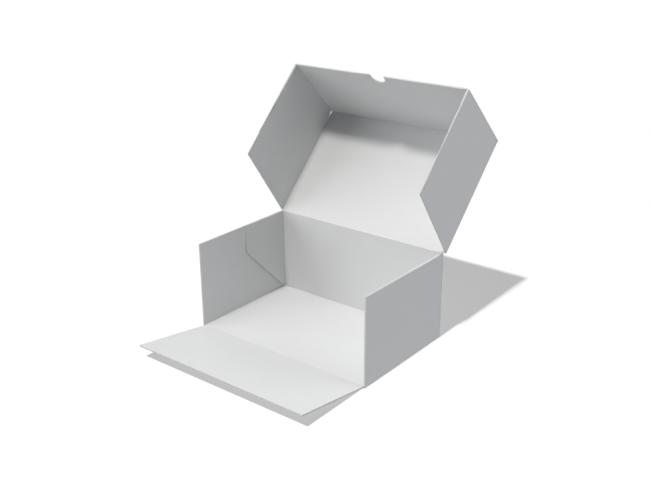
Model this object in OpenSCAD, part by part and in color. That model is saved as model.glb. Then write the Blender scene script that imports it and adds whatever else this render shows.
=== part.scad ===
// Hinged-lid cake box folded from white board: a tray, a lid on its back wall and a drop-down front flap

/* [Tray] */
// Outside width of the tray, left to right
box_w = 203; // [120:1:400]
// Outside depth of the tray, front to back
box_d = 127; // [90:1:300]
// Height of the tray's walls above the surface that it stands on
wall_h = 90; // [72:0.5:180]

/* [Board] */
// Thickness of the board
board_t = 1.5; // [0.9:0.1:3]
// Thickness of a glue tab, where the board is crushed flat
tab_t = 0.6; // [0.4:0.1:1.5]
// Outside radius of a fold
fold_r = 1.2; // [0.3:0.1:1.6]

/* [Glue tabs] */
// Length of a glue tab, measured from the outside of its fold
tab_l = 62; // [20:1:65]
// Angle of the cut that clears a tab from the neighbouring crease
tab_cut = 45; // [30:1:50]
// Radius of a tab's inner corner
tab_r = 3; // [1:0.5:10]
// Angle by which a tab's far edge leans back towards its fold
tab_lean = 3.5; // [0:0.5:10]
// How much lower a lid tab's free edge lies at its far end
tab_taper = 2; // [0:0.5:5]
// How far a tray tab stops below the top of the walls
tab_set = 0.2; // [0.1:0.1:3]

/* [Lid] */
// Angle of the lid, counted from closed
lid_open = 134.5; // [0:0.5:175]
// How far the rear edge of a lid side is cut back at its free corner
rear_cut = 17; // [4:1:40]
// Length of the relieved stretch at the rear of a lid side's free edge
relief_l = 25; // [10:1:40]
// Depth of that relief
relief_d = 0.9; // [0.3:0.1:3]
// Length of the ramp into that relief
relief_ramp = 3; // [1:0.5:8]
// Length of the slit at the front end of a lid side's crease
slit_l = 13; // [4:1:25]
// Width of that slit at the corner
slit_w = 1.1; // [0.4:0.1:3]

/* [Thumb notch] */
// Radius of the thumb notch in the lid's front edge
notch_r = 8.5; // [5:0.5:15]
// How far inside the edge the notch's round starts
notch_set = 2; // [0:0.5:8]

/* [Front flap] */
// Angle of the front flap, counted from lying flat
flap_raise = 8.5; // [0:0.5:60]
// How far the upright flap stops below the top of the walls
flap_set = 1; // [0.2:0.1:5]
// How much narrower the flap is at each end of its free edge
flap_taper = 0; // [0:0.1:4]

/* [Clearances] */
// Gap between a side wall's cut edge and the folded corner beside it
corner_gap = 0.3; // [0.2:0.05:2]
// Gap between the closed lid and the tray, on every face
lid_gap = 0.3; // [0.2:0.05:1.5]
// Gap between the front flap's ends and the side walls
flap_gap = 0.3; // [0.2:0.05:1.5]
// Gap between the two boards that meet at a hinge crease
hinge_gap = 0.3; // [0.2:0.05:0.8]
// Gap between the closed lid's skirt and the resting flap under it
skirt_gap = 0.45; // [0.3:0.05:5]

/* [Hidden] */
white = [0.95, 0.95, 0.95];
$fn = 48;
reach = 1; // how far a cutting shape runs past the face that it cuts

// Planes of the tray, with the origin at the centre of the floor's underside
back_y = box_d / 2;
front_y = -box_d / 2;
floor_front_y = front_y + board_t; // the floor stops one board short, so the upright flap ends flush
inner_w = box_w - 2 * board_t;
side_l = box_d - board_t - corner_gap; // the side walls stop short of the back wall's folded corners

// The lid in its closed place: its hinge line is the origin and its top panel's underside is z = 0
lid_hinge_y = back_y + hinge_gap;
lid_hinge_z = wall_h + lid_gap;
lid_inner_w = box_w + 2 * (lid_gap + tab_t);
lid_w = lid_inner_w + 2 * board_t;
lid_l = lid_hinge_y - front_y + lid_gap + board_t;
lid_side_y = board_t + corner_gap - lid_l; // the lid's sides stop short of its front panel's folded corners

// The flap's top face at the front of the closed lid sets where the lid's skirt ends
flap_hinge_z = board_t;
flap_l = wall_h - flap_hinge_z - flap_set;
skirt_run = floor_front_y - (lid_hinge_y - lid_l);
skirt_end_z = flap_hinge_z + skirt_run * tan(flap_raise) + skirt_gap;
skirt_h = lid_hinge_z - skirt_end_z;

// Rectangle from its lower left corner with round lower corners, or only the right one of them
module folded_square(w, h, r, both = true) {
    left = both ? r : 0;
    translate([left, 0]) square([w - left - r, h]);
    translate([0, r]) square([w, h - r]);
    intersection() {
        square([w, r]);
        union() {
            translate([w - r, r]) circle(r = r);
            if (both) translate([r, r]) circle(r = r);
        }
    }
}

// Channel of board seen along its length: a panel with a wall folded up at each side
module channel_section(w, h) {
    difference() {
        translate([-w / 2, 0]) folded_square(w, h, fold_r);
        translate([board_t - w / 2, board_t]) square([w - 2 * board_t, h]);
    }
}

// Straight channel along Y from y = 0 backwards to y = length
module channel(w, h, length) {
    translate([0, length, 0]) rotate([90, 0, 0]) linear_extrude(length) channel_section(w, h);
}

// Wall between two side walls, standing on z = 0 with its outer face at y = 0 and its folds round
module end_wall(w, h) {
    intersection() {
        mirror([0, 1, 0]) translate([-w / 2, 0, 0]) linear_extrude(h) folded_square(w, 2 * board_t, fold_r);
        translate([-w / 2, 0, 0]) rotate([90, 0, 90])
            linear_extrude(w) translate([-board_t, 0]) folded_square(board_t, h, fold_r, false);
    }
}

// Last strip of a panel, which runs on past the side walls' ends into the end wall at y = 0
module panel_end(w) {
    translate([-w / 2, -2 * board_t - corner_gap, 0]) cube([w, 1.5 * board_t + corner_gap, board_t]);
}

// Outline of a glue tab: x runs from its fold's outside, y from the neighbouring crease to its free edge
module tab_outline(free_h, taper) {
    corner_h = (tab_l - board_t) * tan(tab_cut);
    centre = [tab_l - tab_r, corner_h - tab_r * tan(tab_cut) + tab_r / cos(tab_cut)];
    foot = centre + tab_r * [cos(tab_lean), sin(tab_lean)];
    far_h = free_h - taper;
    polygon([
        [board_t / 2, 0],
        [board_t, 0],
        centre + tab_r * [sin(tab_cut), -cos(tab_cut)],
        foot,
        [foot[0] - (far_h - foot[1]) * tan(tab_lean), far_h],
        [board_t / 2, free_h]
    ]);
    translate(centre) circle(r = tab_r);
}

// Pair of glue tabs that run forwards from an end wall at y = 0, between side walls w apart
module glue_tabs(w, free_h, taper = 0) {
    for (x = [-w / 2, w / 2 - tab_t])
        translate([x, 0, 0]) mirror([0, 1, 0]) rotate([90, 0, 90])
            linear_extrude(tab_t) tab_outline(free_h, taper);
}

// Floor and two side walls folded from it, the back wall and its two glue tabs
module tray() {
    color(white) {
        difference() {
            translate([0, front_y, 0]) channel(box_w, wall_h, side_l);
            translate([-inner_w / 2, front_y - reach, -reach])
                cube([inner_w, board_t + reach, board_t + 2 * reach]);
        }
        translate([0, back_y, 0]) {
            end_wall(box_w, wall_h);
            panel_end(inner_w);
            glue_tabs(inner_w, wall_h - tab_set);
        }
    }
}

// Side view of the lid: y runs back from the front and z is height over the top panel's underside
module lid_outline() {
    relieved_z = relief_d - skirt_h;
    polygon([
        [0, board_t],
        [0, 0],
        [-rear_cut, relieved_z],
        [-rear_cut - relief_l, relieved_z],
        [-rear_cut - relief_l - relief_ramp, -skirt_h],
        [lid_side_y, -skirt_h],
        [lid_side_y, board_t]
    ]);
}

// Lid in its closed place, hinge line at the origin
module closed_lid() {
    difference() {
        intersection() {
            translate([0, -lid_l, board_t]) mirror([0, 0, 1]) channel(lid_w, skirt_h + board_t, lid_l);
            rotate([90, 0, 90]) translate([0, 0, -lid_w]) linear_extrude(2 * lid_w) lid_outline();
        }
        for (side = [-1, 1])
            translate([side * (lid_w - board_t) / 2, lid_side_y, 0]) rotate([90, 0, 90])
                linear_extrude(board_t + reach / 2, center = true)
                    polygon([[0, 0], [slit_l, 0], [0, -slit_w]]);
    }
    translate([0, -lid_l, board_t]) mirror([0, 1, 0]) mirror([0, 0, 1]) {
        difference() {
            end_wall(lid_w, skirt_h + board_t);
            translate([0, reach, skirt_h + board_t - notch_set]) rotate([90, 0, 0]) {
                cylinder(r = notch_r, h = board_t + 2 * reach);
                translate([-notch_r, 0, 0]) cube([2 * notch_r, notch_set + reach, board_t + 2 * reach]);
            }
        }
        panel_end(lid_inner_w);
        translate([0, 0, board_t]) glue_tabs(lid_inner_w, skirt_h, tab_taper);
    }
}

// Top panel, two side panels and a notched front panel with two glue tabs, swung open on its hinge line
module lid() {
    color(white)
        translate([0, lid_hinge_y, lid_hinge_z]) rotate([-lid_open, 0, 0]) closed_lid();
}

// Front wall that drops forwards on the floor's front crease
module front_flap() {
    hinge_half = inner_w / 2 - flap_gap;
    free_half = hinge_half - flap_taper;
    color(white)
        translate([0, floor_front_y, flap_hinge_z]) rotate([-flap_raise, 0, 0]) translate([0, 0, -board_t])
            linear_extrude(board_t)
                polygon([
                    [-hinge_half, -hinge_gap],
                    [hinge_half, -hinge_gap],
                    [free_half, -flap_l],
                    [-free_half, -flap_l]
                ]);
}

tray();
lid();
front_flap();
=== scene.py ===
# Cake box folded from one sheet of white fluted board, standing open on a pale floor
import math

import bpy
import numpy as np
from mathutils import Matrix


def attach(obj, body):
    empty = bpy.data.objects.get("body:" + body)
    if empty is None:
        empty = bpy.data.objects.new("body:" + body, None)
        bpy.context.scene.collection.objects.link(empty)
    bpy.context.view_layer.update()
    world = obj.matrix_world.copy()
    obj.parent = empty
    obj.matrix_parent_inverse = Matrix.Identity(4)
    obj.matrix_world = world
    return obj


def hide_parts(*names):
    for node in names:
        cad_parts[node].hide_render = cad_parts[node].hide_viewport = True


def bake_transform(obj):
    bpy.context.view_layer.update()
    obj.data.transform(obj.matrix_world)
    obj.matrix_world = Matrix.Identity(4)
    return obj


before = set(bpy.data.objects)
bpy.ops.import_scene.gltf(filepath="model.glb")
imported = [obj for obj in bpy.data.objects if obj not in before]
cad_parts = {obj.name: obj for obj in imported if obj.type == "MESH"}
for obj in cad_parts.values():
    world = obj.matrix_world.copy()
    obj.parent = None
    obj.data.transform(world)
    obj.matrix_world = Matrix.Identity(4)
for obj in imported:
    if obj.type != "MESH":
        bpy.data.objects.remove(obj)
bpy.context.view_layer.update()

mm = 0.001
nudge = 0.02  # mm, keeps two hidden faces from lying in one plane
hair = 0.01  # mm, a point nearer to a line than this counts as on it
rounding = 1e-6  # mm

board = {  # E-flute board, in mm
    "thick": 1.5,
    "crushed": 0.6,  # a glue tab, pressed flat
    "foldOuter": 1.2,  # radius of a fold, outside and inside
    "foldInner": 0.25,
    "foldSteps": 6,
    "cutRound": 0.16,  # soft edge that the cutting rule leaves
    "scoreRound": 0.05,  # edge of a panel where a crease strip carries on from it
    "roundShare": 0.4,  # most of a sheet's thickness that the round of its edge takes
    "scoreWidth": 0.5,
    "cornerGap": 0.3,  # between a side wall's cut edge and the folded corner beside it
    "shoulder": 0.1,  # height of the step between a fold and a tab that is set in from it
    "edgeStep": 0.4,  # how far in from an edge the next row of points lies
    "flutedFrom": 1.0,  # a thinner cut edge is crushed, and shows no flutes
    "linerShare": 0.1,  # part of a cut edge's depth that each paper liner takes
}


# Quarter circle in the lower left of a trough: centre plus radius times the rays from 180 to 270 degrees
def quarterRays(steps):
    turn = np.radians(np.linspace(180, 270, steps + 1))
    return np.stack([np.cos(turn), np.sin(turn)], 1)


# Cross-section of a folded trough, from the left wall's free edge round to the right wall's. The walls stand
# at plus and minus half the width, the base lies at height 0, and each fold is a quarter circle, of one
# radius outside and a smaller one inside. A wall may be set in from its fold, which then has a shoulder one
# board deep. The right half is the left half mirrored. Gives matched points inside and outside, the outward
# normal, and 1 at the scores beside the folds.
def troughSection(width, wallThick, wallHeights, baseX, setIn=0.0):
    half, thick = width / 2, board["thick"]
    rays = quarterRays(board["foldSteps"])
    heights = np.array(wallHeights, float)
    baseX = np.array(baseX, float)
    outer, inner = board["foldOuter"], board["foldInner"]
    wallOut = np.stack([np.full(len(heights), setIn - half), heights], 1)
    wallIn = wallOut + [wallThick, 0]
    if setIn:
        step = board["shoulder"]
        wallOut = np.vstack([wallOut, [setIn - half, thick + step], [-half, thick]])
        inward = setIn + wallThick - half
        wallIn = np.vstack([wallIn, [inward, thick + inner + 2 * step], [inward, thick + inner + step]])
    leftOut = np.vstack([wallOut, [outer - half, outer] + outer * rays])
    leftIn = np.vstack([wallIn, [setIn + wallThick + inner - half, thick + inner] + inner * rays])
    leftNormal = np.vstack([np.tile([-1.0, 0.0], (len(wallOut), 1)), rays])
    leftScore = np.zeros(len(leftOut))
    leftScore[len(heights) - 2] = 1
    baseOut = np.stack([baseX, np.zeros(len(baseX))], 1)
    baseScore = np.zeros(len(baseX))
    baseScore[[1, -2]] = 1
    flip = np.array([-1.0, 1.0])
    return {
        "inside": np.vstack([leftIn, baseOut + [0, thick], leftIn[::-1] * flip]),
        "outside": np.vstack([leftOut, baseOut, leftOut[::-1] * flip]),
        "normal": np.vstack([leftNormal, np.tile([0.0, -1.0], (len(baseX), 1)), leftNormal[::-1] * flip]),
        "score": np.concatenate([leftScore, baseScore, leftScore[::-1]]),
    }


# Stations between two edges: fixed steps in from the low edge, shares of what lies between, and fixed steps
# in from the high edge
def stations(low, high, lead, shares, tail):
    first = low[:, None] + np.array(lead)
    last = high[:, None] - np.array(tail)
    middle = first[:, -1:] + (last[:, :1] - first[:, -1:]) * np.array(shares)
    return np.hstack([first, middle, last])


# Carries a cross-section along its stations: point (k, m) is section point k at distance s(k, m). The result
# is (x, s, a) for a section point (x, a).
def carry(section, along):
    def spread(points):
        x = np.broadcast_to(points[:, :1], along.shape)
        a = np.broadcast_to(points[:, 1:], along.shape)
        return np.stack([x, along, a], 2)

    normal = np.stack([
        np.broadcast_to(section["normal"][:, :1], along.shape),
        np.zeros(along.shape),
        np.broadcast_to(section["normal"][:, 1:], along.shape),
    ], 2)
    return {
        "inside": spread(section["inside"]),
        "outside": spread(section["outside"]),
        "insideNormal": -normal,
        "outsideNormal": normal.copy(),
        "sheetY": along.copy(),
        "score": np.broadcast_to(section["score"][:, None], along.shape).copy(),
    }


# Moves a grid into the box's own frame: each point is turned by the matrix and shifted, each normal turned
def place(grid, matrix, shift):
    matrix, shift = np.array(matrix, float), np.array(shift, float)
    for skin in ("inside", "outside"):
        grid[skin] = grid[skin] @ matrix.T + shift
        normal = grid.get(skin + "Normal")
        if normal is not None:
            grid[skin + "Normal"] = normal @ matrix.T
    return grid


# Turn about the box's width by an angle in radians: (x, y, z) to (x, y cos + z sin, z cos - y sin)
def turnAcross(angle):
    return [[1, 0, 0], [0, math.cos(angle), math.sin(angle)], [0, -math.sin(angle), math.cos(angle)]]


# Vectors divided by their lengths
def unit(vectors):
    return vectors / np.maximum(np.linalg.norm(vectors, axis=-1, keepdims=True), 1e-12)


# Outward direction in the sheet's own surface at each point of its border loop: the mitre of the two sides
# that meet there, where a side's direction is its run crossed with the board's thickness. A sharp corner's
# mitre is kept short.
def borderOutward(middle, across):
    sharpest = 0.35
    run = np.roll(middle, -1, 0) - middle
    side = unit(np.cross(run, across + np.roll(across, -1, 0)))
    before = np.roll(side, 1, 0)
    mitre = (side + before) / np.maximum(1 + (side * before).sum(1, keepdims=True), sharpest)
    return mitre * np.sign(((middle - middle.mean(0)) * mitre).sum())


# Closed sheet of board between a matched inside and outside grid. The border is drawn in by the cut's radius
# r, and five strips carry it round the edge: quarter rounds of two flats each, and the flat cut between them.
# A quarter round's middle point lies r(1 - sin 45) in from the edge and as far from the face.
def boardMesh(name, grid, rounds, materials, smoothOnly=False):
    inside, outside = grid["inside"].reshape(-1, 3), grid["outside"].reshape(-1, 3)
    n, m = grid["inside"].shape[:2]
    index = np.arange(n * m).reshape(n, m)
    loop = np.concatenate([index[:, 0], index[-1, 1:], index[-2::-1, -1], index[0, -2:0:-1]])
    low, right, high, left = rounds
    radius = np.repeat([low, right, high, left], [n, m - 1, n - 1, m - 2])
    borderIn, borderOut = inside[loop], outside[loop]
    thick = np.linalg.norm(borderOut - borderIn, axis=1, keepdims=True)
    radius = np.minimum(radius[:, None], board["roundShare"] * thick)
    across = (borderOut - borderIn) / thick
    outward = borderOutward((borderIn + borderOut) / 2, across)
    lift = 1 - math.sin(math.radians(45))
    rings = [
        borderIn - outward * radius * lift + across * radius * lift,
        borderIn + across * radius,
        borderOut - across * radius,
        borderOut - outward * radius * lift - across * radius * lift,
    ]
    skinIn, skinOut = inside.copy(), outside.copy()
    skinIn[loop] = borderIn - outward * radius
    skinOut[loop] = borderOut - outward * radius
    points = np.vstack([skinIn, skinOut] + rings) * mm

    # Quads of the two skins and of the five strips, all turned the same way round
    corner = index[:-1, :-1].ravel()
    quad = np.stack([corner, corner + m, corner + m + 1, corner + 1], 1)
    count, size = n * m, len(loop)
    levels = [loop] + [2 * count + size * k + np.arange(size) for k in range(4)] + [loop + count]
    strips = [np.stack([a, np.roll(a, -1), np.roll(b, -1), b], 1) for a, b in zip(levels[:-1], levels[1:])]
    faces = np.vstack([quad[:, ::-1], quad + count] + strips)
    a, b, c, d = (points[faces[:, k]] for k in range(4))
    volume = (a * (np.cross(b, c) + np.cross(c, d))).sum()
    if volume < 0:
        faces = faces[:, ::-1]
    insideSlot, outsideSlot, cutSlot = 0, 1, 2
    slotOf = [insideSlot, outsideSlot, insideSlot, insideSlot, cutSlot, outsideSlot, outsideSlot]
    slots = np.repeat(slotOf, [len(quad)] * 2 + [size] * 5)

    mesh = bpy.data.meshes.new(name)
    mesh.from_pydata(points.tolist(), [], faces.tolist())
    for material in materials:
        mesh.materials.append(material)
    mesh.polygons.foreach_set("material_index", slots.astype(np.int32))
    mesh.shade_smooth()

    # Sheet map: u is the distance across the flutes, v the place in the board's thickness on a cut edge
    sheetY = grid["sheetY"].ravel()
    near, far = board["linerShare"], 1 - board["linerShare"]
    fluted = thick[:, 0] > board["flutedFrom"]
    ringShares = [np.where(fluted, share, 0.0) for share in (near, near, far, near)]
    u = np.concatenate([sheetY, sheetY] + [sheetY[loop]] * 4) * mm
    v = np.concatenate([np.zeros(2 * count)] + ringShares)
    corners = faces.ravel()
    sheetMap = mesh.uv_layers.new(name="sheet")
    sheetMap.uv.foreach_set("vector", np.stack([u[corners], v[corners]], 1).astype(np.float32).ravel())
    score = grid["score"].ravel()
    scored = mesh.attributes.new("score", "FLOAT", "POINT")
    scored.data.foreach_set("value", np.concatenate([score, score, np.zeros(4 * size)]).astype(np.float32))
    mesh.validate()
    if smoothOnly:
        mesh.set_sharp_from_angle(angle=math.radians(50))  # the cut edges stay crisp, and the bend smooth
    else:
        normals = np.vstack([
            grid["insideNormal"].reshape(-1, 3), grid["outsideNormal"].reshape(-1, 3),
            outward - across, outward, outward, outward + across,
        ])
        mesh.normals_split_custom_set_from_vertices(unit(normals).tolist())
    piece = bpy.data.objects.new(name, mesh)
    bpy.context.scene.collection.objects.link(piece)
    return piece


# Cubic curve from one point to another, which leaves and arrives along the given directions
def easeCurve(start, leave, end, arrive, count):
    t = np.linspace(0, 1, count)[:, None]
    start, end = np.array(start, float), np.array(end, float)
    nearStart, nearEnd = start + np.array(leave), end - np.array(arrive)
    return ((1 - t) ** 3 * start + 3 * (1 - t) ** 2 * t * nearStart
            + 3 * (1 - t) * t ** 2 * nearEnd + t ** 3 * end)


# sRGB hex to the linear colour that Blender works in
def linear(hexColour):
    parts = [int(hexColour[k:k + 2], 16) / 255 for k in (1, 3, 5)]
    return [p / 12.92 if p <= 0.04045 else ((p + 0.055) / 1.055) ** 2.4 for p in parts] + [1.0]


# One shader node with its settings, its fixed inputs and its links from other nodes
def addNode(tree, kind, settings=None, inputs=None):
    node = tree.nodes.new(kind)
    for key, value in (settings or {}).items():
        setattr(node, key, value)
    for key, value in (inputs or {}).items():
        if isinstance(value, bpy.types.NodeSocket):
            tree.links.new(value, node.inputs[key])
        else:
            node.inputs[key].default_value = value
    return node


# Empty material and its node tree
def newMaterial(name):
    material = bpy.data.materials.new(name)
    material.use_nodes = True
    tree = material.node_tree
    tree.nodes.clear()
    return material, tree


# Bleached paper liner with a clay coat: an even, faintly cloudy white with a soft grey sheen at a low angle.
# Close up, the paper's fibres give a fine tooth, and the flutes under the liner a faint ribbing every 3.2 mm.
def coatedLiner(name, paint):
    material, tree = newMaterial(name)
    coords = addNode(tree, "ShaderNodeTexCoord")
    sheet = addNode(tree, "ShaderNodeUVMap", {"uv_map": "sheet"})
    cloud = addNode(tree, "ShaderNodeTexNoise", inputs={
        "Vector": coords.outputs["Object"], "Scale": 1 / (paint["cloudSize"] * mm),
        "Detail": 3.0, "Roughness": 0.55})
    tint = addNode(tree, "ShaderNodeMix", {"data_type": "RGBA"}, {
        "Factor": cloud.outputs["Fac"], "A": linear(paint["shade"]), "B": linear(paint["white"])})
    fibre = addNode(tree, "ShaderNodeTexNoise", inputs={
        "Vector": coords.outputs["Object"], "Scale": 1 / (paint["fibreSize"] * mm),
        "Detail": 2.0, "Roughness": 0.6})
    wavePhase = 20  # radians of a wave texture to one unit of its coordinate
    ribs = addNode(tree, "ShaderNodeTexWave", {"wave_type": "BANDS", "bands_direction": "X"}, {
        "Vector": sheet.outputs["UV"], "Scale": 1 / (paint["flutePitch"] * mm) / wavePhase * 2 * math.pi})
    score = addNode(tree, "ShaderNodeAttribute", {"attribute_name": "score"})
    tooth = addNode(tree, "ShaderNodeBump", inputs={
        "Height": fibre.outputs["Fac"], "Distance": paint["toothDepth"] * mm, "Strength": 1.0})
    ribbed = addNode(tree, "ShaderNodeBump", inputs={
        "Height": ribs.outputs["Fac"], "Distance": paint["ribDepth"] * mm, "Strength": 1.0,
        "Normal": tooth.outputs["Normal"]})
    pressed = addNode(tree, "ShaderNodeBump", {"invert": True}, {
        "Height": score.outputs["Fac"], "Distance": paint["scoreDepth"] * mm, "Strength": 1.0,
        "Normal": ribbed.outputs["Normal"]})
    rough = addNode(tree, "ShaderNodeMapRange", inputs={
        "Value": fibre.outputs["Fac"], "To Min": paint["roughLow"], "To Max": paint["roughHigh"]})
    shader = addNode(tree, "ShaderNodeBsdfPrincipled", inputs={
        "Base Color": tint.outputs["Result"], "Roughness": rough.outputs["Result"], "IOR": 1.5,
        "Specular IOR Level": paint["gloss"], "Normal": pressed.outputs["Normal"]})
    addNode(tree, "ShaderNodeOutputMaterial", inputs={"Surface": shader.outputs["BSDF"]})
    return material


# Cut edge of the board: two paper liners with the fluted paper waving between them, and painted shade in the
# hollows, which stay shut in the mesh: a darker colour where the shade inside them would fall. Flutes run
# across the box, so an edge that crosses them shows the wave and one along them a line.
def cutBoard(name, paint):
    material, tree = newMaterial(name)
    coords = addNode(tree, "ShaderNodeTexCoord")
    sheet = addNode(tree, "ShaderNodeUVMap", {"uv_map": "sheet"})
    parts = addNode(tree, "ShaderNodeSeparateXYZ", inputs={"Vector": sheet.outputs["UV"]})
    turns = addNode(tree, "ShaderNodeMath", {"operation": "MULTIPLY"}, {
        0: parts.outputs["X"], 1: 2 * math.pi / (paint["flutePitch"] * mm)})
    wave = addNode(tree, "ShaderNodeMath", {"operation": "SINE"}, {0: turns.outputs[0]})
    line = addNode(tree, "ShaderNodeMath", {"operation": "MULTIPLY_ADD"}, {
        0: wave.outputs[0], 1: paint["waveShare"], 2: 0.5})
    away = addNode(tree, "ShaderNodeMath", {"operation": "SUBTRACT"}, {
        0: parts.outputs["Y"], 1: line.outputs[0]})
    gap = addNode(tree, "ShaderNodeMath", {"operation": "ABSOLUTE"}, {0: away.outputs[0]})
    hollow = addNode(tree, "ShaderNodeMapRange", {"interpolation_type": "SMOOTHSTEP"}, {
        "Value": gap.outputs[0], "From Min": paint["hollow"][0], "From Max": paint["hollow"][1]})
    middle = addNode(tree, "ShaderNodeMath", {"operation": "SUBTRACT"}, {0: parts.outputs["Y"], 1: 0.5})
    depth = addNode(tree, "ShaderNodeMath", {"operation": "ABSOLUTE"}, {0: middle.outputs[0]})
    core = addNode(tree, "ShaderNodeMapRange", {"interpolation_type": "SMOOTHSTEP"}, {
        "Value": depth.outputs[0], "From Min": paint["core"][0], "From Max": paint["core"][1],
        "To Min": 1.0, "To Max": 0.0})
    # Mask of the painted shade: the flute hollows, faded out under the liners
    hollowShadeMask = addNode(tree, "ShaderNodeMath", {"operation": "MULTIPLY"}, {
        0: hollow.outputs[0], 1: core.outputs[0]})
    fibre = addNode(tree, "ShaderNodeTexNoise", inputs={
        "Vector": coords.outputs["Object"], "Scale": 1 / (paint["fibreSize"] * mm),
        "Detail": 3.0, "Roughness": 0.7})
    paper = addNode(tree, "ShaderNodeMix", {"data_type": "RGBA"}, {
        "Factor": fibre.outputs["Fac"], "A": linear(paint["shade"]), "B": linear(paint["white"])})
    # Painted shade: the paper takes the darkest colour in the open flute hollows
    tint = addNode(tree, "ShaderNodeMix", {"data_type": "RGBA"}, {
        "Factor": hollowShadeMask.outputs[0], "A": paper.outputs["Result"], "B": linear(paint["hollowShade"])})
    rough = addNode(tree, "ShaderNodeBump", inputs={
        "Height": fibre.outputs["Fac"], "Distance": paint["toothDepth"] * mm, "Strength": 1.0})
    shader = addNode(tree, "ShaderNodeBsdfPrincipled", inputs={
        "Base Color": tint.outputs["Result"], "Roughness": paint["rough"], "IOR": 1.5,
        "Specular IOR Level": paint["gloss"], "Normal": rough.outputs["Normal"]})
    addNode(tree, "ShaderNodeOutputMaterial", inputs={"Surface": shader.outputs["BSDF"]})
    return material


liner = {  # sizes in mm. The fibres are drawn coarser than paper's 0.05 mm, which is too fine to show.
    "white": "#dfe0e3", "shade": "#dbdcdf", "cloudSize": 34.0, "fibreSize": 0.45, "flutePitch": 3.2,
    "toothDepth": 0.012, "ribDepth": 0.006, "scoreDepth": 0.04,
    "roughLow": 0.52, "roughHigh": 0.66, "gloss": 0.4,
}
linerInside = dict(liner, white="#dfe0e1", shade="#dbdcdd", roughLow=0.62, roughHigh=0.74, gloss=0.3)
cut = {  # sizes in mm
    # The darkest colour is painted shade. It stands for the shade inside the open flute hollows.
    "white": "#e4e4e3", "shade": "#dededd", "hollowShade": "#cececb", "fibreSize": 0.3, "flutePitch": 3.2,
    "waveShare": 0.3,  # how far the fluted paper swings from the middle, as a share of the thickness
    "hollow": (0.08, 0.2),  # how far from the fluted paper the dark of the hollows starts and is full
    "core": (0.3, 0.38),  # how far from the middle it starts to fade and is gone, under the liners
    "toothDepth": 0.03, "rough": 0.9, "gloss": 0.3,
}
outsideBoard = coatedLiner("coatedLinerOutside", liner)
insideBoard = coatedLiner("coatedLinerInside", linerInside)
cutEdge = cutBoard("fluteCutEdge", cut)
boardMaterials = [insideBoard, outsideBoard, cutEdge]
print("materials made")


tab = {  # glue tabs of the tray and the lid, in mm and degrees
    "length": 62.0, "corner": 3.0, "lean": 3.5,
    "leanStart": 8.0,  # how far from the fold the lean of the far edge starts to draw the tab in
    "rimStart": 2.0, "rimRun": 4.0,  # how far from the fold the slanted rim lifts, and how soon it is up
    "rimFade": 9.0,  # height over which the lift fades up the tab
    "rows": (8, 20, 35, 52), "lastRow": 0.35,  # where its points lie: out from the fold, in from the far edge
}
tray = {  # mm
    "width": 203.0, "depth": 127.0, "wall": 90.0, "floorFront": -62.0,
    "tabTaper": 0.0, "tabSet": 0.2, "rimLift": 1.1,
    "tabThin": (52.0, 61.0, 0.45),  # how far from the fold a tab starts and ends thinning, and by how much
}
crease = {  # mm: the hinge lines, and how far short of them each panel stops for its crease strip
    "hingeY": 63.8, "hingeZ": 90.3, "flapY": -62.0, "flapZ": 1.5,
    "trim": 0.8, "wallTrim": 0.6, "floorTrim": 0.5, "steps": 10,
    "half": 100.2,  # half the width of the lid's strip
    "room": 0.1, "shoulder": 0.3,  # room beside its ends, and width of the step to the lid's full rear edge
    "lidInside": (0.6, 0.9), "lidOutside": (0.35, 0.45),  # how far the curves run straight on from each panel
    "flapTop": (0.4, 0.4), "flapUnder": (0.5, 0.5), "dip": 0.03,
    "flapEnd": 0.05,  # how far the flap's strip stops short of the flap's ends
    "leastSpan": 0.4,  # shortest stretch over which the lid's strip bends
}
panelRows = [0, 40, 80]  # mm, rows of points across a panel, out from its middle


# Heights for a trough's walls: the free edge, three rows down the wall, and three about the score by the fold
def wallSteps(free, extra=()):
    base = board["thick"] + board["foldInner"]
    steps = [free, free - board["edgeStep"], 0.7 * free, 0.4 * free]
    score = [base + k * board["scoreWidth"] for k in (3, 2, 1)]
    return sorted(set(steps) | set(score) | set(extra), reverse=True)


# Places along a trough's base, mirrored: the score by the fold, and the given places between
def baseSteps(half, places):
    inside = half - board["thick"] - board["foldInner"]
    near = [inside - k * board["scoreWidth"] / 2 for k in (0.5, 1.5, 2.5)]
    right = sorted(set(near) | set(places))
    return [-x for x in reversed(right)] + [x for x in right if x > 0]


# Side walls and floor: the trough's section carried from the front edge to the rear one. The floor stops
# short at the front for the flap's crease, and at the rear where the back wall's fold begins.
def buildTraySides():
    half, back = tray["width"] / 2, tray["depth"] / 2
    thick, step = board["thick"], board["edgeStep"]
    section = troughSection(tray["width"], thick, wallSteps(tray["wall"]), baseSteps(half, panelRows))
    x, height = section["inside"].T
    onFloor = (height < thick + rounding) & (np.abs(x) < half - thick - board["foldInner"] - hair)
    front = np.where(onFloor, tray["floorFront"] + crease["floorTrim"], -back)
    rear = np.where(onFloor, back - board["foldOuter"] + nudge, back - thick - board["cornerGap"])
    along = stations(front, rear, [0, step], [0.25, 0.5, 0.75], [step, 0])
    grid = carry(section, along)
    return boardMesh("traySides", grid, [board["cutRound"]] * 4, boardMaterials)


# Height of the centre of a glue tab's round corner
def cornerHeight():
    return tab["length"] - board["thick"] + tab["corner"] * (1 / math.cos(math.radians(45)) - 1)


# Lower edge of a glue tab by its distance d from the fold: a 45 degree cut up from the crease, then a round
# corner up to the tab's far edge. Its free edge falls evenly by the taper.
def tabEdges(d, freeHeight, taper):
    reach, corner, thick = tab["length"], tab["corner"], board["thick"]
    centreD, centreH = reach - corner, cornerHeight()
    straight = np.maximum(d - thick, 0)
    rounded = centreH - np.sqrt(np.maximum(corner ** 2 - (d - centreD) ** 2, 0))
    low = np.where(d > centreD + corner * math.sin(math.radians(45)), rounded, straight)
    high = freeHeight - taper * (d - thick / 2) / (reach - thick / 2)
    return low, high


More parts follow.
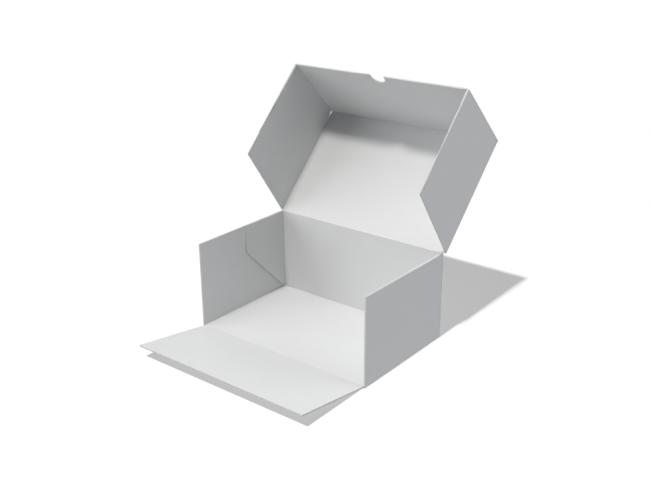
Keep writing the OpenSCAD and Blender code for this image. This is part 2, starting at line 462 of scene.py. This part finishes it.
# Distances from the fold at which a glue tab's outline is drawn, closest about its round corner
def tabSteps():
    reach, corner = tab["length"], tab["corner"]
    turn = np.radians(np.linspace(90, 45, 7))
    rounded = (reach - corner) + corner * np.sin(turn)
    base = board["thick"] + board["foldInner"]
    score = {base + k * board["scoreWidth"] for k in (3, 2, 1)}
    return sorted(set(rounded) | {reach - tab["lastRow"]} | set(tab["rows"]) | score, reverse=True)


# End wall with a glue tab folded in at each side: the section lies level, x across and d in from the outer
# face, and is carried up from the neighbouring panel's outer face. Under the fold's radius the outer face
# follows a quarter circle: d = R - sqrt(R^2 - (R - s)^2). The folds stand flush with the side walls, and the
# tabs behind them, inner apart. A tab thins towards its far end, which leans back above the corner, and its
# slanted rim stands off the side wall by a lift that fades up the tab.
def endGrid(inner, baseX, topOfPanel, tabFoot, tabFree, sizes):
    thick, radius = board["thick"], board["foldOuter"]
    section = troughSection(inner + 2 * thick, board["crushed"], tabSteps(), baseX, thick)
    x, d = section["inside"].T
    onTab = d > thick + board["foldInner"] + 1.5 * board["shoulder"]  # past the shoulder's first point
    tabLow, tabHigh = tabEdges(d, tabFree, sizes["tabTaper"])
    low = np.where(onTab, tabFoot + tabLow, nudge)
    high = np.where(onTab, tabFoot + tabHigh, topOfPanel(x))
    foldRows = [0, 0.33, 0.73, radius - nudge]  # steps up round the fold at the foot
    along = stations(low, high, foldRows, [0.2, 0.45, 0.7, 0.9], [board["edgeStep"], 0])
    grid = carry(section, along)

    side = np.sign(x)
    thinStart, thinEnd, thinner = sizes["tabThin"]
    thinned = thinner * np.clip((d - thinStart) / (thinEnd - thinStart), 0, 1)
    grid["inside"][:, :, 0] += (side * thinned)[:, None]
    rim = sizes["rimLift"] * np.clip((d - tab["rimStart"]) / tab["rimRun"], 0, 1)
    fade = np.clip(1 - (along - along[:, :1]) / tab["rimFade"], 0, 1)
    lean = np.maximum(along - tabFoot - cornerHeight(), 0) * math.tan(math.radians(tab["lean"]))
    outwards = np.clip(d - tab["leanStart"], 0, None) / (tab["length"] - tab["leanStart"])
    for skin in ("inside", "outside"):
        grid[skin][:, :, 0] -= (side * rim)[:, None] * fade
        grid[skin][:, :, 2] -= lean * outwards[:, None]

    under = np.maximum(radius - along, 0)
    limit = radius - np.sqrt(radius ** 2 - under ** 2)
    outside, normal = grid["outside"], grid["outsideNormal"]
    lifted = (limit > outside[:, :, 2]) & ~onTab[:, None]
    outside[:, :, 2] = np.where(lifted, limit, outside[:, :, 2])
    roundNormal = np.stack([np.zeros(along.shape), -under / radius, (limit - radius) / radius], 2)
    grid["outsideNormal"] = np.where(lifted[:, :, None], roundNormal, normal)
    return grid


# Back wall with its two tabs, which stops a little short of the lid's hinge line
def buildTrayBack():
    inner = tray["width"] - 2 * board["thick"]

    def top(x):
        return np.full(len(x), crease["hingeZ"] - crease["wallTrim"])

    grid = endGrid(inner, baseSteps(inner / 2, panelRows), top, 0.0, tray["wall"] - tray["tabSet"], tray)
    # (x, s, d) to x, back plane less d, s
    grid = place(grid, [[1, 0, 0], [0, 0, -1], [0, 1, 0]], [0, tray["depth"] / 2, 0])
    return boardMesh("trayBack", grid, [board["scoreRound"], board["cutRound"]] * 2, boardMaterials)


for piece in (buildTraySides(), buildTrayBack()):
    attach(piece, "tray")
    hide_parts("tray")
print("tray made")


lid = {  # mm, closed: x across, y back from the front, z up from the top panel's underside at the hinge
    "open": 134.5, "width": 207.8, "length": 129.1, "skirt": 87.857,
    "rearCut": 17.0, "reliefLength": 25.0, "reliefDepth": 0.9, "reliefRamp": 3.0,
    "notchRadius": 8.5, "notchSet": 2.0,
    "slitLength": 13.0, "slitWidth": 1.1,
    "leftSlitLength": 18.0, "leftSlitWidth": 2.5,  # the left slit has opened up, and lets light in
    "slitRise": 0.06,  # how far above the fold's round a slit starts
    "slitStep": 0.05,  # height of the step that ends it at the corner
    "slitClear": 1.0,  # height above it that is kept free of other points
    "tabTaper": 2.0, "rimLift": 0.0, "tabThin": (4.0, 32.0, 0.5),
    # The sides' free edges are pressed thinner rearwards, the right one only up to its relief
    "pressStart": 35.0, "pressRun": 38.0, "pressDepth": 1.1,
    "pressRim": 1.0, "pressFade": 6.0,  # height that is pressed in full, and height at which that starts
    "frontRows": [30, 60, 85],  # where the front panel's points lie, beside the notch's own
}
swing = math.radians(lid["open"])
lidTurn = turnAcross(swing)
lidHinge = [0, crease["hingeY"], crease["hingeZ"]]


# Top panel and its two sides. The sides' rear edges slant forwards, their free edges step up near the rear,
# and a slit runs back from each front corner under the crease: its edge is length times (1 - depth / width).
def buildLidTop():
    thick, step = board["thick"], board["edgeStep"]
    deep = lid["skirt"] + thick
    slitFoot = thick + lid["leftSlitWidth"]
    slitRows = [thick + board["foldInner"] + lid["slitRise"], thick + lid["slitWidth"],
                slitFoot, slitFoot + lid["slitStep"]]
    heights = wallSteps(deep, [deep - lid["pressFade"]] + slitRows)
    heights = [h for h in heights if h >= slitFoot + lid["slitClear"] or h in slitRows]
    half = lid["width"] / 2
    rearHalf = crease["half"] + crease["room"]
    baseX = baseSteps(half, panelRows + [rearHalf, rearHalf + crease["shoulder"]])
    section = troughSection(lid["width"], thick, heights, baseX)
    section["score"][:len(heights)] = 0
    section["score"][-len(heights):] = 0
    x, h = section["inside"].T
    depth = h - thick
    onBase = depth < rounding
    onWall = depth > board["foldInner"] + hair
    relieved = lid["skirt"] - lid["reliefDepth"]
    rear = np.where(onWall, -lid["rearCut"] * np.minimum(depth, relieved) / relieved, 0)
    rear = np.where(onBase & (np.abs(x) < rearHalf + hair), -crease["trim"], rear)
    sideFront = thick + board["cornerGap"] - lid["length"]
    front = np.full(len(x), sideFront)
    onTop = onBase & (np.abs(x) < half - thick - board["foldInner"] - hair)
    front = np.where(onTop, board["foldOuter"] - nudge - lid["length"], front)
    inSlit = onWall & (h < slitFoot + hair)
    slitWidth = np.where(x < 0, lid["leftSlitWidth"], lid["slitWidth"])
    slitLength = np.where(x < 0, lid["leftSlitLength"], lid["slitLength"])
    slitBack = sideFront + slitLength * (1 - depth / slitWidth)
    front = np.where(inSlit, np.maximum(slitBack, front), front)
    edgeFront, edgeRear = front[0] + step, rear[0] - step
    reliefEnd = -lid["rearCut"] - lid["reliefLength"]
    shares = [(y - edgeFront) / (edgeRear - edgeFront) for y in (reliefEnd - lid["reliefRamp"], reliefEnd)]
    along = stations(front, rear, [0, step], [0.15, 0.35, 0.55] + shares, [step, 0])
    grid = carry(section, along)
    ramp = np.clip((along - reliefEnd + lid["reliefRamp"]) / lid["reliefRamp"], 0, 1)
    for skin in ("inside", "outside"):
        grid[skin][:, :, 2] = np.minimum(grid[skin][:, :, 2], deep - lid["reliefDepth"] * ramp)
    pressed = np.clip((along - sideFront - lid["pressStart"]) / lid["pressRun"], 0, 1)
    pressed = np.where(x[:, None] > 0, pressed * (1 - ramp), pressed)
    nearRim = h > deep - lid["pressRim"]
    grid["inside"][:, :, 0] += (np.sign(x) * nearRim)[:, None] * lid["pressDepth"] * pressed
    # (x, y, h) to x, y, thickness less h, then swung open about the hinge
    grid = place(grid, [[1, 0, 0], [0, 1, 0], [0, 0, -1]], [0, 0, thick])
    grid = place(grid, lidTurn, lidHinge)
    return boardMesh("lidTop", grid, [board["cutRound"]] * 4, boardMaterials)


# Front panel with its two tabs. Its free edge is cut by the thumb notch: set plus sqrt(r^2 - x^2) deep.
def buildLidFront():
    thick, radius = board["thick"], lid["notchRadius"]
    inner = lid["width"] - 2 * thick
    turn = np.radians(np.linspace(0, 90, 15))
    notchX = list(radius * np.sin(turn)) + [radius + nudge]

    def freeEdge(x):
        cutIn = lid["notchSet"] + np.sqrt(np.maximum(radius ** 2 - x ** 2, 0))
        return lid["skirt"] + thick - np.where(np.abs(x) < radius + hair, cutIn, 0)

    baseX = baseSteps(inner / 2, notchX + lid["frontRows"])
    foot = lid["leftSlitWidth"]
    grid = endGrid(inner, baseX, freeEdge, thick + foot, lid["skirt"] - foot, lid)
    # (x, s, d) to x, front plane plus d, thickness less s, then swung open about the hinge
    grid = place(grid, [[1, 0, 0], [0, 0, 1], [0, -1, 0]], [0, -lid["length"], thick])
    grid = place(grid, lidTurn, lidHinge)
    return boardMesh("lidFront", grid, [board["scoreRound"]] + [board["cutRound"]] * 3, boardMaterials)


for piece in (buildLidTop(), buildLidFront()):
    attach(piece, "lid")
    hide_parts("lid")
print("lid made")


flap = {"raise": 8.5, "length": 87.5, "half": 99.7, "rows": [-60, -20, 20, 60]}  # degrees and mm
flapTurn = math.radians(flap["raise"])
flapMatrix = turnAcross(flapTurn)


# Flat board from its crease to its free edge: its top face is the plane z = 0, turned about the hinge
def buildFlap():
    half, step = flap["half"], board["edgeStep"]
    x = np.array([-half, step - half] + flap["rows"] + [half - step, half])
    low, high = np.full(len(x), -flap["length"]), np.full(len(x), -crease["trim"])
    scoreRows = [k * board["scoreWidth"] for k in (3, 2, 1, 0)]
    along = stations(low, high, [0, step], [0.2, 0.4, 0.6, 0.8], scoreRows)
    across = np.broadcast_to(x[:, None], along.shape)
    grid = {
        "inside": np.stack([across, along, np.zeros(along.shape)], 2),
        "outside": np.stack([across, along, np.full(along.shape, -board["thick"])], 2),
        "insideNormal": np.broadcast_to([0.0, 0.0, 1.0], along.shape + (3,)).copy(),
        "outsideNormal": np.broadcast_to([0.0, 0.0, -1.0], along.shape + (3,)).copy(),
        "sheetY": along.copy(),
        "score": np.zeros(along.shape),
    }
    grid["score"][:, -3] = 1
    grid = place(grid, flapMatrix, [0, crease["flapY"], crease["flapZ"]])
    cutRound, joined = board["cutRound"], board["scoreRound"]
    return boardMesh("flapPanel", grid, [cutRound, cutRound, joined, cutRound], boardMaterials)


piece = buildFlap()
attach(piece, "front_flap")
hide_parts("front_flap")
print("flap made")


# Strip of board that carries the sheet over a crease: its inside and outside are cubic curves between the two
# panels' ends, and both run level across the box
def creaseStrip(name, insideCurve, outsideCurve, half):
    step = board["edgeStep"]
    x = np.array([-half, step - half, -half / 3, half / 3, half - step, half])
    shape = (len(insideCurve), len(x))
    level = np.broadcast_to(x, shape)

    def spread(curve):
        y, z = (np.broadcast_to(curve[:, k:k + 1], shape) for k in (0, 1))
        return np.stack([level, y, z], 2)

    grid = {"inside": spread(insideCurve), "outside": spread(outsideCurve),
            "sheetY": np.zeros(shape), "score": np.zeros(shape)}
    joined, cutRound = board["scoreRound"], board["cutRound"]
    # The grid's own borders: its two ends across the box are cut, the two along it meet the panels
    return boardMesh(name, grid, [cutRound, joined, cutRound, joined], boardMaterials, smoothOnly=True)


# Points and directions about the lid's hinge, as (y, z): away up the lid, and back through its thickness
thick, trim = board["thick"], crease["trim"]
lidAway = np.array([math.sin(swing - math.pi / 2), math.cos(swing - math.pi / 2)])
lidBack = np.array([lidAway[1], -lidAway[0]])
hinge = np.array([crease["hingeY"], crease["hingeZ"]])
wallInner = np.array([tray["depth"] / 2 - thick, crease["hingeZ"] - crease["wallTrim"]])
wallOuter = wallInner + [thick, 0]
lidInner = hinge + trim * lidAway
lidOuter = lidInner + thick * lidBack
wallPull, lidPull = crease["lidInside"]
insideCurve = easeCurve(wallInner, [0, wallPull], lidInner, lidPull * lidAway, crease["steps"])
wallPull, lidPull = crease["lidOutside"]
outsideCurve = easeCurve(wallOuter, [0, wallPull], lidOuter, lidPull * lidAway, crease["steps"])
lidCrease = creaseStrip("lidCrease", insideCurve, outsideCurve, crease["half"])
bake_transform(lidCrease)

# The same about the flap's hinge: away along the flap, and down through its thickness
flapAway = np.array([-math.cos(flapTurn), math.sin(flapTurn)])
flapDown = np.array([-flapAway[1], flapAway[0]])
flapHinge = np.array([crease["flapY"], crease["flapZ"]])
floorTop = flapHinge + [crease["floorTrim"], 0]
floorUnder = floorTop - [0, thick]
flapTop = flapHinge + trim * flapAway
flapUnder = flapTop + thick * flapDown
floorPull, flapPull = crease["flapTop"]
insideCurve = easeCurve(floorTop, [-floorPull, -crease["dip"]], flapTop, flapPull * flapAway, crease["steps"])
floorPull, flapPull = crease["flapUnder"]
outsideCurve = easeCurve(floorUnder, [-floorPull, 0], flapUnder, flapPull * flapAway, crease["steps"])
flapCrease = creaseStrip("flapCrease", insideCurve, outsideCurve, flap["half"] - crease["flapEnd"])
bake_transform(flapCrease)
print("creases made")


studio = {
    "floorSize": 16.0,
    "floorSeen": ("#898989", 0.48),  # colour, and an even lift that stands for the sky's light
    "floorBounce": ("#606060", 0.24),
    "lamps": {  # degrees round from the front towards the right, degrees up, width in degrees, power, colour
        "key": (0.0, 62.8, 9.0, 1.66, "#fffdf9"),
        "frontLeft": (315.0, 22.0, 50.0, 1.17, "#ffffff"),
        "backRight": (130.0, 24.0, 58.0, 1.27, "#fdfeff"),
        "overhead": (0.0, 90.0, 50.0, 0.92, "#fdfeff"),
        "backLeft": (240.0, 14.0, 36.0, 0.5, "#fafcff"),
    },
    "floorLamp": (0.0, 62.8, 2.5, 7.6, "#ffffff"),
}


# Plain matt floor. The camera sees a grey that its own strong lamp brings up to white outside the shadows.
# Other surfaces get the bounce of a darker one.
def paleFloor():
    material, tree = newMaterial("paleFloor")
    path = addNode(tree, "ShaderNodeLightPath")
    looks = []
    for colour, lift in (studio["floorBounce"], studio["floorSeen"]):
        matt = addNode(tree, "ShaderNodeBsdfDiffuse", inputs={"Color": linear(colour)})
        glow = addNode(tree, "ShaderNodeEmission", inputs={"Color": linear("#ffffff"), "Strength": lift})
        looks.append(addNode(tree, "ShaderNodeAddShader", inputs={0: matt.outputs[0], 1: glow.outputs[0]}))
    mixed = addNode(tree, "ShaderNodeMixShader", inputs={
        0: path.outputs["Is Camera Ray"], 1: looks[0].outputs[0], 2: looks[1].outputs[0]})
    addNode(tree, "ShaderNodeOutputMaterial", inputs={"Surface": mixed.outputs[0]})
    return material


# Level square that the box stands on
def buildFloor():
    half = studio["floorSize"] / 2
    mesh = bpy.data.meshes.new("studioFloor")
    corners = [(-half, -half, 0), (half, -half, 0), (half, half, 0), (-half, half, 0)]
    mesh.from_pydata(corners, [], [(0, 1, 2, 3)])
    mesh.materials.append(paleFloor())
    floor = bpy.data.objects.new("studioFloor", mesh)
    bpy.context.scene.collection.objects.link(floor)
    return floor


# White wall of sky behind the floor, for the camera alone: the lamps give all the light
def buildSky():
    world = bpy.data.worlds.new("studioSky")
    world.use_nodes = True
    tree = world.node_tree
    tree.nodes.clear()
    path = addNode(tree, "ShaderNodeLightPath")
    white = addNode(tree, "ShaderNodeBackground", inputs={
        "Color": linear("#ffffff"), "Strength": path.outputs["Is Camera Ray"]})
    addNode(tree, "ShaderNodeOutputWorld", inputs={"Surface": white.outputs[0]})
    bpy.context.scene.world = world


# Distant lamp. One that stands az degrees round and el degrees up shines along
# (-sin az cos el, cos az cos el, -sin el), and its width softens its shadows. It lights what the group
# includes, and everything but what the group excludes.
def addLamp(name, setting, group):
    azimuth, elevation, width, power, colour = setting
    lamp = bpy.data.lights.new(name, "SUN")
    lamp.energy = power
    lamp.angle = math.radians(width)
    lamp.color = linear(colour)[:3]
    holder = bpy.data.objects.new(name, lamp)
    holder.rotation_euler = (math.radians(90 - elevation), 0, math.radians(azimuth))
    holder.light_linking.receiver_collection = group
    bpy.context.scene.collection.objects.link(holder)


# Light group that leaves the floor out, or holds nothing but the floor
def lampGroup(name, floor, state):
    group = bpy.data.collections.new(name)
    group.objects.link(floor)
    group.collection_objects[0].light_linking.link_state = state
    return group


# The box is lit softly, and the floor by a narrow lamp of its own, which keeps its shadow even and crisp
def buildLamps(floor):
    box = lampGroup("allButFloor", floor, "EXCLUDE")
    for name, setting in studio["lamps"].items():
        addLamp(name, setting, box)
    addLamp("floorLamp", studio["floorLamp"], lampGroup("floorOnly", floor, "INCLUDE"))


buildSky()
buildLamps(buildFloor())
print("studio made")


camera = {  # degrees, pixels of a 650 wide picture, and mm
    "azimuth": 38.321, "elevation": 21.828, "roll": -0.276, "focal": 920.5, "pictureWidth": 650,
    "distance": 926.34, "sideways": 4.877, "upwards": 84.843,
}


# The camera's axes are right, up and back for its azimuth and elevation, rolled about back. It stands its
# distance back from the origin, then sideways and up.
def buildCamera():
    az, el, roll = (math.radians(camera[k]) for k in ("azimuth", "elevation", "roll"))
    back = np.array([math.sin(az) * math.cos(el), -math.cos(az) * math.cos(el), math.sin(el)])
    right = np.array([math.cos(az), math.sin(az), 0])
    up = np.cross(back, right)
    right, up = right * math.cos(roll) + up * math.sin(roll), up * math.cos(roll) - right * math.sin(roll)
    spot = (back * camera["distance"] + right * camera["sideways"] + up * camera["upwards"]) * mm
    data = bpy.data.cameras.new("photoCamera")
    data.sensor_fit = "HORIZONTAL"
    data.sensor_width = 36.0
    data.lens = camera["focal"] * data.sensor_width / camera["pictureWidth"]
    data.clip_start, data.clip_end = 0.01, 100.0
    seen = bpy.data.objects.new("photoCamera", data)
    turn = np.eye(4)
    turn[:3, :3] = np.stack([right, up, back], 1)
    turn[:3, 3] = spot
    seen.matrix_world = [list(row) for row in turn.T]
    bpy.context.scene.collection.objects.link(seen)
    bpy.context.scene.camera = seen


buildCamera()
bpy.context.scene.view_settings.view_transform = "Standard"
print("camera made")
